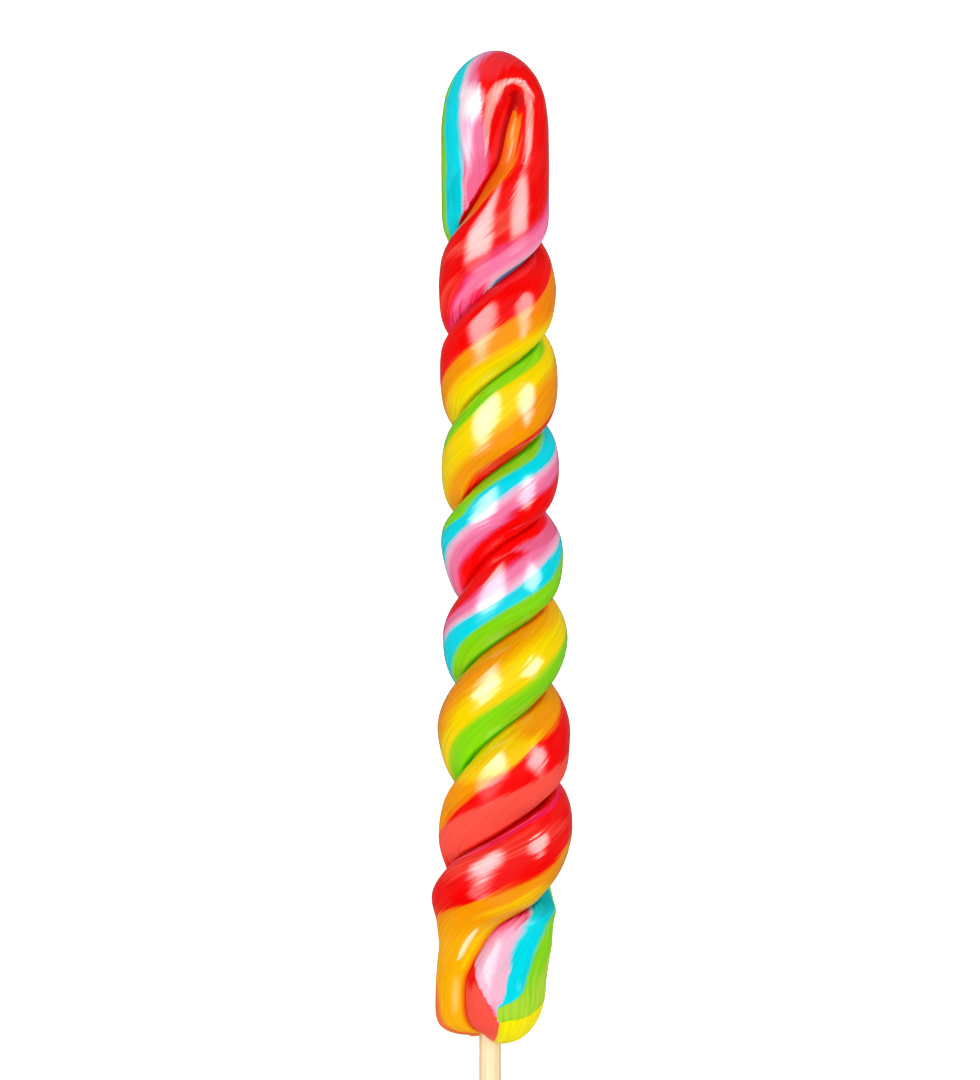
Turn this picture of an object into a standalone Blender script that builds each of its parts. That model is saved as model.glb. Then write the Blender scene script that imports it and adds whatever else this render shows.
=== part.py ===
"""Swirl lollipop: one rope of pulled sugar, folded over at the top and twisted
on itself round a wooden stick.

The lollipop lies on its back. +Y runs towards the folded top, +X across it and
+Z up, away from the surface under it. Lengths are written in millimetres and
built in metres. A station is a distance in millimetres below the folded top.
The origin is under the middle of the whole piece, on the surface it rests on.
"""
import math

import bpy
import bmesh
import numpy as np

MM = 0.001

# ---------------------------------------------------------------- named sizes
CANDY_LENGTH = 223.5         # folded top to the longer tail's end
STICK_DIAMETER = 5.0
STICK_LENGTH = 170.0
STICK_SHOWN = 96.5           # stick beyond the candy's end
STICK_EDGE = 0.4             # rounding of the dowel's end edges
STICK_OFFSET = -2.7          # the dowel's axis across the lollipop
FIT_GAP = 0.3                # sugar to wood, all round
REST_FLAT = 0.6              # depth pressed flat where a lobe lies on the slab

# Twist. The angle is that of the second leg, in degrees, from +X towards +Z.
FOLD_TURNS = ((0.0, -40.0), (11.4, -35.0), (17.7, -21.0), (25.5, -7.0),
              (30.3, 13.0), (37.0, 45.0))
FIRST_CROSSING = 43.2        # station where the second leg first lies in front
HALF_TURN_LENGTHS = (20.8, 20.5, 19.4, 19.4, 19.3, 22.2, 21.3)
HALF_TURN_LEADS = (0.9, 0.8, 0.2, 2.1, 0.8, 0.9, 0.5)    # middle ahead of even
TAIL_TURNS = ((190.8, 1378.0), (197.4, 1440.0), (203.0, 1463.0), (206.5, 1473.0),
              (208.6, 1478.0), (212.0, 1480.0), (CANDY_LENGTH, 1480.0))

# Section. Each leg is an egg shape pressed into the other: reach is from the
# twist's axis to a lobe's crown, flank is the egg's half breadth across it, and
# press is the ratio of the egg's offset to its half thickness.
REACH = ((0.0, 12.35), (27.0, 12.3), (43.0, 12.5), (54.8, 13.4), (94.6, 13.4),
         (114.0, 13.9), (132.9, 14.2), (154.2, 15.1), (175.2, 15.2),
         (190.9, 14.4), (196.0, 13.4), (203.0, 12.8), (210.5, 12.6),
         (CANDY_LENGTH, 12.6))
FLANK = ((0.0, 9.8), (27.0, 10.1), (43.2, 10.6), (64.0, 11.0), (84.5, 10.8),
         (103.9, 10.6), (123.3, 10.8), (142.6, 11.0), (164.8, 12.0),
         (186.1, 11.8), (191.5, 12.3), (201.0, 11.1), (210.5, 10.8), (CANDY_LENGTH, 10.8))
PRESS = ((0.0, 0.66), (30.0, 0.64), (60.0, 0.62), (190.0, 0.62),
         (210.5, 0.62), (CANDY_LENGTH, 0.62))
EGG = 0.08                   # how much fuller a leg is next to the twist's axis
# The rope isn't straight: drift is the twist axis's place across the lollipop.
DRIFT = ((0.0, -1.6), (30.0, -1.55), (43.2, -1.46), (54.8, -1.0), (64.0, -1.1), (73.9, -0.7),
         (94.6, -0.4), (104.0, -0.6), (114.0, 0.2), (123.2, 0.8), (132.9, 0.7),
         (142.6, 0.3), (154.2, 0.45), (164.8, 1.1), (175.2, 0.8), (186.0, -0.9),
         (190.9, -1.9), (196.0, -1.6), (201.0, -1.5), (205.3, -2.0),
         (210.5, -2.5), (CANDY_LENGTH, -2.7))
# Sections lean where the tails leave the twist: rise across the lollipop.
LEAN = ((0.0, 0.0), (174.0, 0.0), (186.0, 0.17), (198.0, 0.0), (CANDY_LENGTH, 0.0))

# Folded top: the legs swing over a pivot; its outline is part of an oval.
PIVOT = 10.9                 # station of the fold's inner end
CROWN_WIDTH = 12.4           # the outline oval's half width
CROWN_HEIGHT = 18.4          # and half height
CROWN_CENTRE = 7.4           # its centre below the pivot
CROWN_THINNING = 0.16        # how much thinner the rope is over the fold

# Tails: the second leg's end is round, the first leg's is blunt.
TAIL_START = 210.5
TAIL_DROP = {"first": 11.6, "second": 13.0}
TAIL_BLUNTNESS = {"first": 6.0, "second": 2.0}
TAIL_PARTING = 2.5           # how sharply one end's form gives way to the other

COLUMNS = 36                 # facets round the pair of legs
ROW_STEP = 1.85              # station step along the twist
FOLD_ROWS = 16
TAIL_ROWS = 11


class Curve:
    """Smooth curve through (station, value) pairs that doesn't overshoot."""

    def __init__(self, pairs):
        self.x = np.array([p[0] for p in pairs], float)
        self.y = np.array([p[1] for p in pairs], float)
        step = np.diff(self.x)
        rise = np.diff(self.y) / step
        slope = np.zeros(len(self.x))
        for i in range(1, len(self.x) - 1):
            if rise[i - 1] * rise[i] > 0.0:
                w1 = 2.0 * step[i] + step[i - 1]
                w2 = step[i] + 2.0 * step[i - 1]
                slope[i] = (w1 + w2) / (w1 / rise[i - 1] + w2 / rise[i])
        slope[0], slope[-1] = rise[0], rise[-1]
        self.slope = slope

    def __call__(self, at):
        at = np.clip(at, self.x[0], self.x[-1])
        i = np.clip(np.searchsorted(self.x, at, side="right") - 1, 0, len(self.x) - 2)
        h = self.x[i + 1] - self.x[i]
        s = (at - self.x[i]) / h
        return ((2 * s ** 3 - 3 * s ** 2 + 1) * self.y[i]
                + (s ** 3 - 2 * s ** 2 + s) * h * self.slope[i]
                + (-2 * s ** 3 + 3 * s ** 2) * self.y[i + 1]
                + (s ** 3 - s ** 2) * h * self.slope[i + 1])


def twist_table():
    """Fold, then one pair for each half turn, then the tails."""
    pairs = list(FOLD_TURNS) + [(FIRST_CROSSING, 90.0)]
    station, angle = FIRST_CROSSING, 90.0
    for length, lead in zip(HALF_TURN_LENGTHS, HALF_TURN_LEADS):
        pairs.append((station + 0.5 * length - lead, angle + 90.0))
        station, angle = station + length, angle + 180.0
        pairs.append((station, angle))
    return pairs + list(TAIL_TURNS)


twist = Curve(twist_table())
reach = Curve(REACH)
flank = Curve(FLANK)
press = Curve(PRESS)
drift = Curve(DRIFT)
lean = Curve(LEAN)


def oval(d):
    """Offset, half thickness and half breadth of a leg's oval at a station."""
    d = np.asarray(d, float)
    above = np.clip(PIVOT + CROWN_CENTRE - d, 0.0, CROWN_CENTRE)
    shoulder = np.sqrt(1.0 - (above / CROWN_HEIGHT) ** 2)
    r, k = reach(d) * shoulder, press(d)
    return r * k / (1.0 + k), r / (1.0 + k), flank(d)


def crown_radius(turn):
    """Distance from the pivot to the outline oval, in a direction of the fold."""
    a = (np.cos(turn) / CROWN_WIDTH) ** 2 + (np.sin(turn) / CROWN_HEIGHT) ** 2
    b = 2.0 * CROWN_CENTRE * np.sin(turn) / CROWN_HEIGHT ** 2
    c = (CROWN_CENTRE / CROWN_HEIGHT) ** 2 - 1.0
    return (-b + np.sqrt(b * b - 4.0 * a * c)) / (2.0 * a)


def section(d, lap):
    """The pair's outline at a station, in its own turning frame: u runs from
    the first leg to the second, w across them, and the legs meet at u = 0.
    Lap runs from -1 to 1 over the second leg and from 1 to 3 over the first."""
    c, t, b = oval(d)
    side = np.where(lap <= 1.0, 1.0, -1.0)
    turn = np.where(lap <= 1.0, lap, lap - 2.0) * np.arccos(-c / t)
    u = np.where(np.abs(lap - 1.0) % 2.0 < 1e-9, 0.0, c + t * np.cos(turn))
    w = b * np.sin(turn) * (1.0 - EGG * np.cos(turn))
    return side * u, side * w


def place(u, w, d):
    """Turn a section point with the twist and set it on the rope's line."""
    a = np.radians(twist(d))
    x = u * np.cos(a) - w * np.sin(a)
    z = u * np.sin(a) + w * np.cos(a)
    return np.stack([drift(d) + x, -(d + lean(d) * x),
                     reach(d) - REST_FLAT + z], axis=-1)


def fold_point(turn, lap):
    """Point of the folded top: the second leg's outline swung over the pivot."""
    u, w = section(PIVOT, lap)
    top = oval(PIVOT)
    full = top[0] + top[1]
    grow = crown_radius(turn) / crown_radius(0.0)
    w = w * (1.0 - CROWN_THINNING * np.sin(turn) ** 2 * (u / full) ** 2)
    return place(u * grow * np.cos(turn), w, PIVOT - u * grow * np.sin(turn))


def tail_point(dip, lap):
    """Point of the tails' ends, in a direction dip below the last section."""
    c, t, b = oval(TAIL_START)
    u, w = section(TAIL_START, lap)
    far = np.hypot(u, w)
    share = 0.5 + 0.5 * np.tanh(TAIL_PARTING * u / far) / math.tanh(TAIL_PARTING)
    drop = TAIL_DROP["first"] + (TAIL_DROP["second"] - TAIL_DROP["first"]) * share
    blunt = TAIL_BLUNTNESS["first"] + (TAIL_BLUNTNESS["second"] - TAIL_BLUNTNESS["first"]) * share
    du, dw, dv = np.cos(dip) * u / far, np.cos(dip) * w / far, np.sin(dip)
    low, high = np.zeros_like(far), np.full_like(far, 40.0)
    for _ in range(48):
        s = 0.5 * (low + high)
        out = (s * np.abs(du) - c) / t
        egg = b * (1.0 - EGG * np.clip(out, -1.0, 1.0))
        inside = (out ** 2 + (s * dw / egg) ** 2 + (s * dv / drop) ** blunt) < 1.0
        low, high = np.where(inside, s, low), np.where(inside, high, s)
    return place(s * du, s * dw, TAIL_START + s * dv)


def candy_mesh(name):
    """Loft of the folded, twisted rope as one closed surface."""
    bm = bmesh.new()
    half = COLUMNS // 2
    lap = -1.0 + 4.0 * np.arange(COLUMNS) / COLUMNS

    def ring(points):
        return [bm.verts.new(p * MM) for p in points]

    def skin(upper, lower):
        for i in range(COLUMNS):
            j = (i + 1) % COLUMNS
            bm.faces.new((upper[i], upper[j], lower[j], lower[i]))

    count = int(round((TAIL_START - PIVOT) / ROW_STEP))
    stations = np.linspace(PIVOT, TAIL_START, count + 1)
    rings = []
    for d in stations:
        u, w = section(d, lap)
        rings.append(ring(place(u, w, np.full_like(u, d))))
    for i in range(1, TAIL_ROWS):
        dip = 0.5 * math.pi * i / TAIL_ROWS
        rings.append(ring(tail_point(dip, lap)))
    for upper, lower in zip(rings, rings[1:]):
        skin(upper, lower)
    tip = bm.verts.new(tail_point(0.5 * math.pi, np.zeros(1))[0] * MM)
    for i in range(COLUMNS):
        bm.faces.new((rings[-1][i], rings[-1][(i + 1) % COLUMNS], tip))

    # Over the fold the rows fan out between the two ends of the groove.
    first = rings[0]
    arcs = [first[:half + 1]]
    for j in range(1, FOLD_ROWS):
        points = fold_point(math.pi * j / FOLD_ROWS, lap[1:half])
        arcs.append([first[0]] + ring(points) + [first[half]])
    arcs.append([first[-i % COLUMNS] for i in range(half + 1)])
    for lower, upper in zip(arcs, arcs[1:]):
        for i in range(half):
            corners = (upper[i], upper[i + 1], lower[i + 1], lower[i])
            bm.faces.new([v for k, v in enumerate(corners) if v not in corners[:k]])

    bmesh.ops.recalc_face_normals(bm, faces=bm.faces)
    bmesh.ops.triangulate(bm, faces=bm.faces, quad_method='SHORT_EDGE')
    mesh = bpy.data.meshes.new(name)
    bm.to_mesh(mesh)
    bm.free()
    mesh.shade_smooth()
    return mesh


def material(name, colour, roughness):
    mat = bpy.data.materials.new(name)
    mat.use_nodes = True
    shader = mat.node_tree.nodes["Principled BSDF"]
    shader.inputs["Base Color"].default_value = (*colour, 1.0)
    shader.inputs["Roughness"].default_value = roughness
    shader.inputs["Metallic"].default_value = 0.0
    return mat


def into(collection, obj):
    for other in list(obj.users_collection):
        other.objects.unlink(obj)
    collection.objects.link(obj)


def cutter(obj, collection):
    into(collection, obj)
    obj.hide_render = True
    obj.display_type = 'WIRE'


def cut(obj, name, tool):
    boolean = obj.modifiers.new(name, 'BOOLEAN')
    boolean.operation = 'DIFFERENCE'
    boolean.solver = 'EXACT'
    boolean.object = tool


def main():
    for obj in list(bpy.data.objects):
        bpy.data.objects.remove(obj, do_unlink=True)
    scene = bpy.context.scene
    parts = bpy.data.collections.new("swirl_lollipop")
    tools = bpy.data.collections.new("cutters")
    scene.collection.children.link(parts)
    scene.collection.children.link(tools)

    mesh = candy_mesh("candy_twist")
    xs = [v.co.x for v in mesh.vertices]
    ys = [v.co.y for v in mesh.vertices]
    end = min(ys)
    stick_end = end - STICK_SHOWN * MM
    shift_x = -0.5 * (min(xs) + max(xs))
    shift_y = -0.5 * (max(ys) + stick_end)
    shift = (shift_x, shift_y, 0.0)

    candy = bpy.data.objects.new("candy_twist", mesh)
    parts.objects.link(candy)
    candy.location = shift
    mesh.materials.append(material("striped_sugar", (0.86, 0.09, 0.04), 0.18))

    # The dowel, and the blind hole that it sits in.
    axis_x = STICK_OFFSET * MM
    axis_z = float(reach(TAIL_START) - REST_FLAT) * MM
    middle = stick_end + 0.5 * STICK_LENGTH * MM
    along = (0.5 * math.pi, 0.0, 0.0)
    bpy.ops.mesh.primitive_cylinder_add(
        vertices=28, radius=0.5 * STICK_DIAMETER * MM, depth=STICK_LENGTH * MM,
        location=(axis_x + shift_x, middle + shift_y, axis_z), rotation=along)
    stick = bpy.context.active_object
    stick.name = stick.data.name = "stick"
    into(parts, stick)
    edge = stick.modifiers.new("end_edges", 'BEVEL')
    edge.width = STICK_EDGE * MM
    edge.segments = 2
    edge.limit_method = 'ANGLE'
    edge.angle_limit = math.radians(60.0)
    stick.data.shade_smooth()
    stick.data.set_sharp_from_angle(angle=math.radians(35.0))
    stick.data.materials.append(material("birch_dowel", (0.93, 0.80, 0.55), 0.55))

    hole_top = stick_end + (STICK_LENGTH + FIT_GAP) * MM
    hole_end = end - 5.0 * MM
    bpy.ops.mesh.primitive_cylinder_add(
        vertices=28, radius=(0.5 * STICK_DIAMETER + FIT_GAP) * MM,
        depth=hole_top - hole_end,
        location=(axis_x + shift_x, 0.5 * (hole_top + hole_end) + shift_y, axis_z),
        rotation=along)
    hole = bpy.context.active_object
    hole.name = "stick_hole"
    cutter(hole, tools)
    cut(candy, "stick_hole", hole)

    slab_depth = 10.0 * MM
    bpy.ops.mesh.primitive_cube_add(size=1.0, location=(0.0, 0.0, -0.5 * slab_depth))
    slab = bpy.context.active_object
    slab.name = "cooling_slab"
    slab.scale = (0.1, 0.5, slab_depth)
    cutter(slab, tools)
    cut(candy, "cooling_slab", slab)


main()
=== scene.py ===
"""Looks of the swirl lollipop: striped pulled sugar twisted on itself round a
birch dowel, lying on a pale sweep and seen from straight above."""
import math

import bmesh
import bpy
import numpy as np
from mathutils import Matrix, Vector


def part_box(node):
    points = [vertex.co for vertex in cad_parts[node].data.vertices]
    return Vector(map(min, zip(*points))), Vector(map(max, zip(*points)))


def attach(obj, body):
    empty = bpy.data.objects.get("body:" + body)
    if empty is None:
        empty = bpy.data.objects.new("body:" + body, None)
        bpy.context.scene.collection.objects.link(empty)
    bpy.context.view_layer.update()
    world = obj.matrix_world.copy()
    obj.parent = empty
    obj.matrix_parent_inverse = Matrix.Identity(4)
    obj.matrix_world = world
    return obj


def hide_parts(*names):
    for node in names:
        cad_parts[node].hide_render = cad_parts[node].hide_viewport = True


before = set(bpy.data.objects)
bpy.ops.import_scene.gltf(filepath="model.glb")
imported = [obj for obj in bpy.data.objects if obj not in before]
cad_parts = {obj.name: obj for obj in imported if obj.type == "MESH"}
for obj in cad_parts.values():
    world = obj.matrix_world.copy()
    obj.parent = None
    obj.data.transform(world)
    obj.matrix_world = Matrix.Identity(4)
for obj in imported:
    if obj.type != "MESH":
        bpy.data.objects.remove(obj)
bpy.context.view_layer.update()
MM = 0.001

# ------------------------------------------------------------ the rope's form
# Lengths in millimetres. A station is a distance below the folded top.
CANDY_LENGTH = 223.5
PIVOT = 10.9
TAIL_START = 210.5
REST_FLAT = 0.6
STICK_OFFSET = -2.7
STICK_RADIUS = 2.5
EGG = 0.08
CROWN_WIDTH, CROWN_HEIGHT, CROWN_CENTRE, CROWN_THINNING = 12.4, 18.4, 7.4, 0.16

FOLD_TURNS = ((0.0, -40.0), (11.4, -35.0), (17.7, -21.0), (25.5, -7.0),
              (30.3, 13.0), (37.0, 45.0))
FIRST_CROSSING = 43.2
HALF_TURN_LENGTHS = (20.8, 20.5, 19.4, 19.4, 19.3, 22.2, 21.3)
HALF_TURN_LEADS = (0.9, 0.8, 0.2, 2.1, 0.8, 0.9, 0.5)
TAIL_TURNS = ((190.8, 1378.0), (197.4, 1440.0), (203.0, 1463.0), (206.5, 1473.0),
              (208.6, 1478.0), (212.0, 1480.0), (CANDY_LENGTH, 1480.0))
REACH = ((0.0, 12.35), (27.0, 12.3), (43.0, 12.5), (54.8, 13.4), (94.6, 13.4),
         (114.0, 13.9), (132.9, 14.2), (154.2, 15.1), (175.2, 15.2),
         (190.9, 14.4), (196.0, 13.4), (203.0, 12.8), (210.5, 12.6),
         (CANDY_LENGTH, 12.6))
FLANK = ((0.0, 9.8), (27.0, 10.1), (43.2, 10.6), (64.0, 11.0), (84.5, 10.8),
         (103.9, 10.6), (123.3, 10.8), (142.6, 11.0), (164.8, 12.0),
         (186.1, 11.8), (191.5, 12.3), (201.0, 11.1), (210.5, 10.8),
         (CANDY_LENGTH, 10.8))
PRESS = ((0.0, 0.66), (30.0, 0.64), (60.0, 0.62), (190.0, 0.62),
         (210.5, 0.62), (CANDY_LENGTH, 0.62))
DRIFT = ((0.0, -1.6), (30.0, -1.55), (43.2, -1.46), (54.8, -1.0), (64.0, -1.1),
         (73.9, -0.7), (94.6, -0.4), (104.0, -0.6), (114.0, 0.2), (123.2, 0.8),
         (132.9, 0.7), (142.6, 0.3), (154.2, 0.45), (164.8, 1.1), (175.2, 0.8),
         (186.0, -0.9), (190.9, -1.9), (196.0, -1.6), (201.0, -1.5),
         (205.3, -2.0), (210.5, -2.5), (CANDY_LENGTH, -2.7))
LEAN = ((0.0, 0.0), (174.0, 0.0), (186.0, 0.17), (198.0, 0.0), (CANDY_LENGTH, 0.0))
TAIL_DROP = {"first": 11.6, "second": 13.0}
TAIL_BLUNTNESS = {"first": 6.0, "second": 2.0}
TAIL_PARTING = 2.5

# ---------------------------------------------------------------- the stripes
# Girth is measured round the rope in laps, one lap being half of what a leg
# shows. The six colours fill one round of the rope, in the order red, orange,
# yellow, green, turquoise, pink; edge number j is where colour j starts.
ROUND = 3.25
BASE_EDGES = (-0.05, 0.85, 1.46, 1.87, 2.62, 2.97)
# How far each leg's stripes have wound by a station, in laps.
WIND_SECOND = ((0.0, 0.0), (30.0, 0.0), (43.0, 0.2), (70.0, 1.12), (95.0, 1.98),
               (120.0, 2.82), (160.0, 4.0), (180.0, 4.8), (200.0, 5.76),
               (CANDY_LENGTH, 5.9))
WIND_FIRST = ((0.0, -0.35), (10.0, -0.45), (20.0, -0.62), (30.0, -0.93),
              (36.0, -1.18), (57.0, -2.15), (66.0, -2.45), (97.0, -3.25),
              (130.0, -4.34), (142.0, -4.9), (170.0, -5.65), (185.0, -5.87),
              (205.0, -5.95), (CANDY_LENGTH, -5.95))
# Where the pulled stripes stray from an even winding: (station, lap on the leg).
SECOND_EDGES = {
    -3: ((11.0, -1.40), (52.0, -1.90)),
    -2: ((11.0, -0.95), (52.0, -1.45)),
    -1: ((45.0, -0.86), (48.0, -0.88), (52.0, -0.93)),
    0: ((38.0, -0.17), (42.0, -0.20), (45.0, -0.19), (47.0, -0.26), (50.0, -0.39),
        (54.0, -0.61), (59.0, -0.76)),
    1: ((11.0, 1.06), (13.5, 1.0), (15.0, 0.90), (17.0, 0.85), (20.0, 0.82), (23.0, 0.805), (29.0, 0.76),
        (35.0, 0.80), (39.0, 0.80), (43.0, 0.88), (86.0, -0.60), (91.0, -0.70), (96.0, -0.81)),
    2: ((72.0, 0.39), (77.0, 0.24), (82.0, 0.03), (87.0, -0.11), (91.0, -0.35),
        (98.0, -0.61)),
    3: ((68.0, 0.80), (72.0, 0.72), (77.0, 0.69), (81.0, 0.55), (86.0, 0.38)),
    4: ((119.0, -0.20), (123.0, -0.20), (126.0, -0.29), (130.0, -0.47), (134.0, -0.60),
        (138.0, -0.72)),
    5: ((112.0, 0.21), (116.0, 0.16), (120.0, 0.11), (123.0, 0.06), (126.0, -0.03),
        (130.0, -0.11)),
    6: ((108.0, 0.80), (113.0, 0.57), (117.0, 0.54), (121.0, 0.52), (123.0, 0.44)),
    7: ((149.0, 0.56), (153.0, 0.44), (157.0, 0.36), (160.0, 0.26), (163.0, 0.18),
        (167.0, 0.09), (170.0, -0.03), (173.0, -0.14)),
    8: ((150.0, 1.02), (154.0, 0.86), (158.0, 0.76), (161.0, 0.76), (166.0, 0.90)),
    9: ((205.0, -0.90), (210.0, -0.62), (213.5, -0.38), (215.7, -0.14), (216.8, -0.03),
        (217.5, 0.06), (217.9, 0.18), (218.2, 0.33), (218.4, 0.40), (CANDY_LENGTH, 0.39)),
    10: ((186.0, 0.86), (190.0, 0.68), (191.5, 0.63), (193.4, 0.56), (195.6, 0.40), (198.1, 0.28), (200.3, 0.26),
         (202.6, 0.22), (204.8, 0.16), (207.1, 0.12), (209.3, 0.10), (211.6, 0.13),
         (212.7, 0.19), (213.9, 0.27), (214.6, 0.37), (215.2, 0.43), (217.2, 0.432),
         (218.4, 0.402), (CANDY_LENGTH, 0.392)),
    11: ((190.6, 1.05), (192.7, 0.95), (193.8, 0.87), (195.8, 0.71), (198.1, 0.58), (200.4, 0.56),
         (202.6, 0.52), (204.9, 0.44), (207.1, 0.37), (209.4, 0.35), (211.6, 0.35),
         (213.9, 0.37), (215.2, 0.434), (217.2, 0.434), (218.4, 0.404), (CANDY_LENGTH, 0.394)),
    12: ((203.0, 1.06), (204.6, 1.00), (206.0, 0.90), (207.6, 0.80), (209.4, 0.70), (211.6, 0.62),
         (213.9, 0.56), (216.1, 0.48), (217.2, 0.436), (218.4, 0.406), (CANDY_LENGTH, 0.396)),
    13: ((203.0, 1.20), (CANDY_LENGTH, 1.20)),
}
FIRST_EDGES = {
    -12: ((172.0, 0.88), (176.0, 0.87), (181.0, 0.77)),
    -11: ((179.0, -0.06), (181.0, -0.17), (184.0, -0.22), (187.0, -0.22), (190.0, -0.19),
          (192.0, -0.14), (194.0, -0.04), (197.0, 0.12), (203.0, 0.30), (CANDY_LENGTH, 0.5)),
    -10: ((129.0, 0.64), (133.0, 0.57), (138.0, 0.44), (143.0, 0.22), (146.0, 0.08),
          (149.0, -0.08), (152.0, -0.27), (186.0, -0.78), (196.0, -0.86), (CANDY_LENGTH, -0.9)),
    -9: ((134.0, 0.09), (139.0, -0.12), (144.0, -0.32), (150.0, -0.46), (156.0, -0.61)),
    -8: ((89.0, 0.86), (92.0, 0.75), (96.0, 0.73), (100.0, 0.65), (103.0, 0.47), (105.0, 0.30)),
    -7: ((93.0, 0.44), (99.0, 0.37), (102.0, 0.25), (106.0, 0.02), (110.0, -0.26)),
    -6: ((98.0, -0.10), (101.0, -0.10), (104.0, -0.18), (107.0, -0.46), (110.0, -0.66),
         (113.0, -0.76), (117.0, -0.80)),
    -5: ((53.0, 0.28), (57.0, 0.17), (61.0, 0.13), (64.0, 0.09), (68.0, -0.06), (71.0, -0.17)),
    -4: ((62.0, -0.46), (65.0, -0.38), (68.0, -0.42), (71.0, -0.48)),
    -2: ((11.0, 0.19), (16.0, 0.01), (20.4, -0.08), (24.9, -0.15), (29.4, -0.32), (33.9, -0.52)),
    -1: ((11.4, -0.11), (15.9, -0.23), (19.2, -0.32), (22.6, -0.39), (26.0, -0.48),
         (29.4, -0.62), (32.7, -0.78), (36.1, -0.90)),
    0: ((11.0, -0.36), (13.0, -0.42), (16.0, -0.54), (18.0, -0.65), (20.0, -0.72),
        (24.0, -0.80), (28.0, -0.91), (32.0, -1.0)),
}
# Over the fold, from the second leg (share 0) to the first (share 1).
FOLD_EDGES = {
    -4: ((0.0, -1.79), (1.0, -1.33)),
    -3: ((0.0, -1.40), (1.0, -0.92)),
    -2: ((0.0, -0.95), (0.5, -0.50), (0.8, -0.23), (0.95, -0.15), (1.0, -0.15)),
    -1: ((0.0, -0.60), (0.45, -0.14), (0.62, -0.05), (0.75, -0.03), (0.88, 0.05), (1.0, 0.09)),
    0: ((0.0, -0.07), (0.35, 0.20), (0.56, 0.32), (0.65, 0.28), (0.73, 0.25), (0.82, 0.27),
        (0.9, 0.30), (1.0, 0.36)),
    1: ((0.0, 1.0), (1.0, 1.31)),
}
LOW_EDGE, HIGH_EDGE = -16, 16


class Curve:
    """Smooth curve through (station, value) pairs that doesn't overshoot."""

    def __init__(self, pairs):
        self.x = np.array([p[0] for p in pairs], float)
        self.y = np.array([p[1] for p in pairs], float)
        step = np.diff(self.x)
        rise = np.diff(self.y) / step
        slope = np.zeros(len(self.x))
        for i in range(1, len(self.x) - 1):
            if rise[i - 1] * rise[i] > 0.0:
                w1 = 2.0 * step[i] + step[i - 1]
                w2 = step[i] + 2.0 * step[i - 1]
                slope[i] = (w1 + w2) / (w1 / rise[i - 1] + w2 / rise[i])
        slope[0], slope[-1] = rise[0], rise[-1]
        self.slope = slope

    def __call__(self, at):
        at = np.clip(at, self.x[0], self.x[-1])
        i = np.clip(np.searchsorted(self.x, at, side="right") - 1, 0, len(self.x) - 2)
        h = self.x[i + 1] - self.x[i]
        s = (at - self.x[i]) / h
        return ((2 * s ** 3 - 3 * s ** 2 + 1) * self.y[i]
                + (s ** 3 - 2 * s ** 2 + s) * h * self.slope[i]
                + (-2 * s ** 3 + 3 * s ** 2) * self.y[i + 1]
                + (s ** 3 - s ** 2) * h * self.slope[i + 1])


def twist_table():
    pairs = list(FOLD_TURNS) + [(FIRST_CROSSING, 90.0)]
    station, angle = FIRST_CROSSING, 90.0
    for length, lead in zip(HALF_TURN_LENGTHS, HALF_TURN_LEADS):
        pairs.append((station + 0.5 * length - lead, angle + 90.0))
        station, angle = station + length, angle + 180.0
        pairs.append((station, angle))
    return pairs + list(TAIL_TURNS)


twist = Curve(twist_table())
reach = Curve(REACH)
flank = Curve(FLANK)
press = Curve(PRESS)
drift = Curve(DRIFT)
lean = Curve(LEAN)
wind_second = Curve(WIND_SECOND)
wind_first = Curve(WIND_FIRST)


def oval(d):
    """Offset, half thickness and half breadth of a leg's egg shape."""
    d = np.asarray(d, float)
    above = np.clip(PIVOT + CROWN_CENTRE - d, 0.0, CROWN_CENTRE)
    shoulder = np.sqrt(1.0 - (above / CROWN_HEIGHT) ** 2)
    r, k = reach(d) * shoulder, press(d)
    return r * k / (1.0 + k), r / (1.0 + k), flank(d)


def crown_radius(turn):
    a = (np.cos(turn) / CROWN_WIDTH) ** 2 + (np.sin(turn) / CROWN_HEIGHT) ** 2
    b = 2.0 * CROWN_CENTRE * np.sin(turn) / CROWN_HEIGHT ** 2
    c = (CROWN_CENTRE / CROWN_HEIGHT) ** 2 - 1.0
    return (-b + np.sqrt(b * b - 4.0 * a * c)) / (2.0 * a)


def section(d, lap):
    """The pair's outline; lap runs -1..1 over the second leg, 1..3 over the first."""
    c, t, b = oval(d)
    side = np.where(lap <= 1.0, 1.0, -1.0)
    turn = np.where(lap <= 1.0, lap, lap - 2.0) * np.arccos(-c / t)
    u = np.where(np.abs(lap - 1.0) % 2.0 < 1e-9, 0.0, c + t * np.cos(turn))
    w = b * np.sin(turn) * (1.0 - EGG * np.cos(turn))
    return side * u, side * w


def place(u, w, d):
    a = np.radians(twist(d))
    x = u * np.cos(a) - w * np.sin(a)
    z = u * np.sin(a) + w * np.cos(a)
    return np.stack([drift(d) + x, -(d + lean(d) * x),
                     reach(d) - REST_FLAT + z], axis=-1)


def fold_point(turn, lap):
    u, w = section(PIVOT, lap)
    top = oval(PIVOT)
    full = top[0] + top[1]
    grow = crown_radius(turn) / crown_radius(0.0)
    w = w * (1.0 - CROWN_THINNING * np.sin(turn) ** 2 * (u / full) ** 2)
    return place(u * grow * np.cos(turn), w, PIVOT - u * grow * np.sin(turn))


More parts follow.
